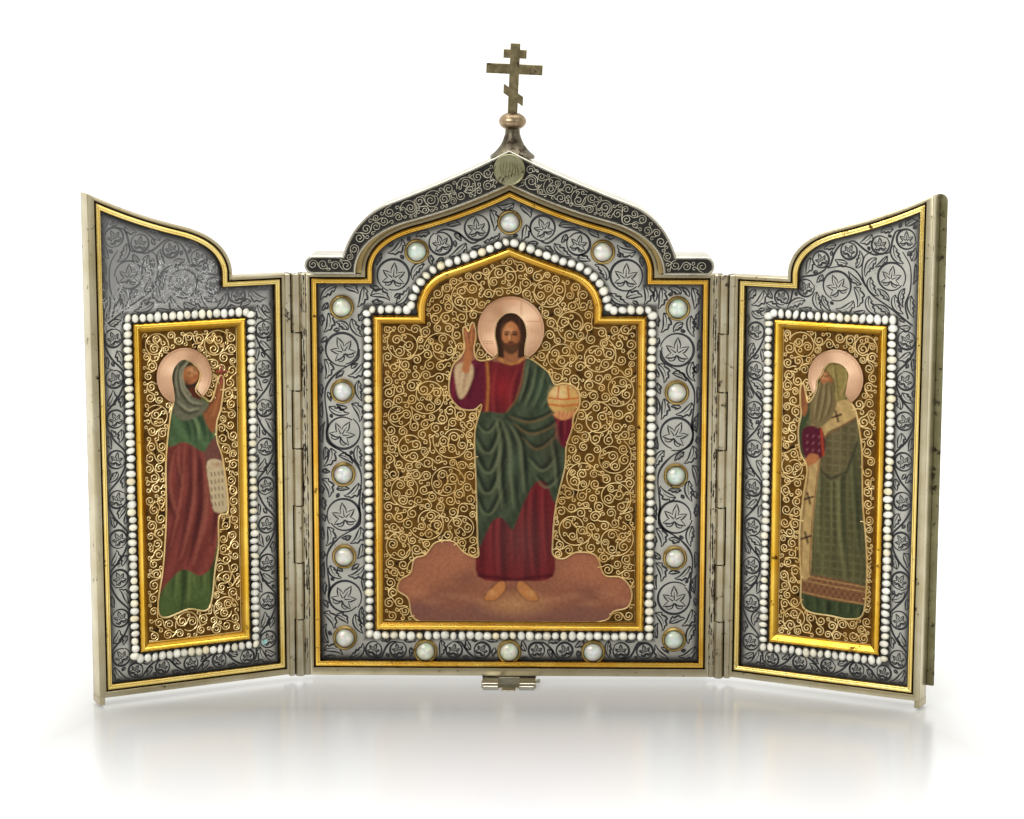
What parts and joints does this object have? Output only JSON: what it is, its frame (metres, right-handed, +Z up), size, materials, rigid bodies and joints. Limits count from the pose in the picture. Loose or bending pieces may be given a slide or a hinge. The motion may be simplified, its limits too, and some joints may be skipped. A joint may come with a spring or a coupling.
{
  "type": "triptych altarpiece",
  "caption": "Arched silver travelling icon triptych: a centre case with a projecting ogee crest and finial cross, hinged wings, niello plates, gilt filigree and pearl edging.",
  "frame": {"origin": "on the underside of the foot bracket, midway between the two hinge axes and in their plane", "axes": "+Z up, +X towards the viewer's right, +Y away from the viewer, who looks at the open triptych from -Y"},
  "size_m": [0.2496, 0.0402, 0.1938],
  "materials": {
    "silver": "aged silver, tan, with grime in the seams",
    "niello": "grey silver plate with flush black niello lines",
    "gilt": "polished fire gilding",
    "gilt_filigree": "gilt wire scrolls on a brown-gold ground",
    "silver_filigree": "silver wire scrolls on a blackened ground",
    "rose_gilt": "polished rose gilding",
    "bronze": "dull olive tarnish",
    "pearl": "nacre, some pearls yellowed",
    "painting": null
  },
  "bodies": {
    "center": {"center_case": "silver", "crest_hood": "silver", "crest_cartouche": "silver", "finial_base": "silver", "foot_bracket": "silver", "left_hinge_center_leaf": "silver", "right_hinge_center_leaf": "silver", "left_hinge_pin": "silver", "right_hinge_pin": "silver", "center_niello_plate": "niello", "center_outer_moulding": "gilt", "center_inner_frame": "gilt", "center_seed_pearls": "pearl", "center_painted_panel": "painting", "center_filigree_plaque": "gilt_filigree", "center_halo": "rose_gilt", "mounted_pearl_01": "pearl", "mounted_pearl_02": "pearl", "mounted_pearl_03": "pearl", "mounted_pearl_04": "pearl", "mounted_pearl_05": "pearl", "mounted_pearl_06": "pearl", "mounted_pearl_07": "pearl", "mounted_pearl_08": "pearl", "mounted_pearl_09": "pearl", "mounted_pearl_10": "pearl", "mounted_pearl_11": "pearl", "mounted_pearl_12": "pearl", "mounted_pearl_13": "pearl", "mounted_pearl_14": "pearl", "mounted_pearl_15": "pearl", "mounted_pearl_16": "pearl", "crest_filigree_plaque": "silver_filigree", "finial_ball": "rose_gilt", "finial_cross": "bronze"},
    "left_wing": {"left_case": "silver", "left_hinge_wing_leaf": "silver", "left_niello_plate": "niello", "left_outer_moulding": "gilt", "left_inner_frame": "gilt", "left_seed_pearls": "pearl", "left_painted_panel": "painting", "left_filigree_plaque": "gilt_filigree", "left_halo": "rose_gilt"},
    "right_wing": {"right_case": "silver", "right_hinge_wing_leaf": "silver", "right_closing_strip": "silver", "right_niello_plate": "niello", "right_outer_moulding": "gilt", "right_inner_frame": "gilt", "right_seed_pearls": "pearl", "right_painted_panel": "painting", "right_filigree_plaque": "gilt_filigree", "right_halo": "rose_gilt"}
  },
  "joints": [
    {"name": "left_wing_hinge", "type": "hinge", "parent": "center", "child": "left_wing", "pos_m": [-0.064, 0, 0.0638], "axis": [0, 0, 1], "range_deg": [-28.2, 151.8]},
    {"name": "right_wing_hinge", "type": "hinge", "parent": "center", "child": "right_wing", "pos_m": [0.064, 0, 0.0638], "axis": [0, 0, -1], "range_deg": [-26, 154]}
  ]
}
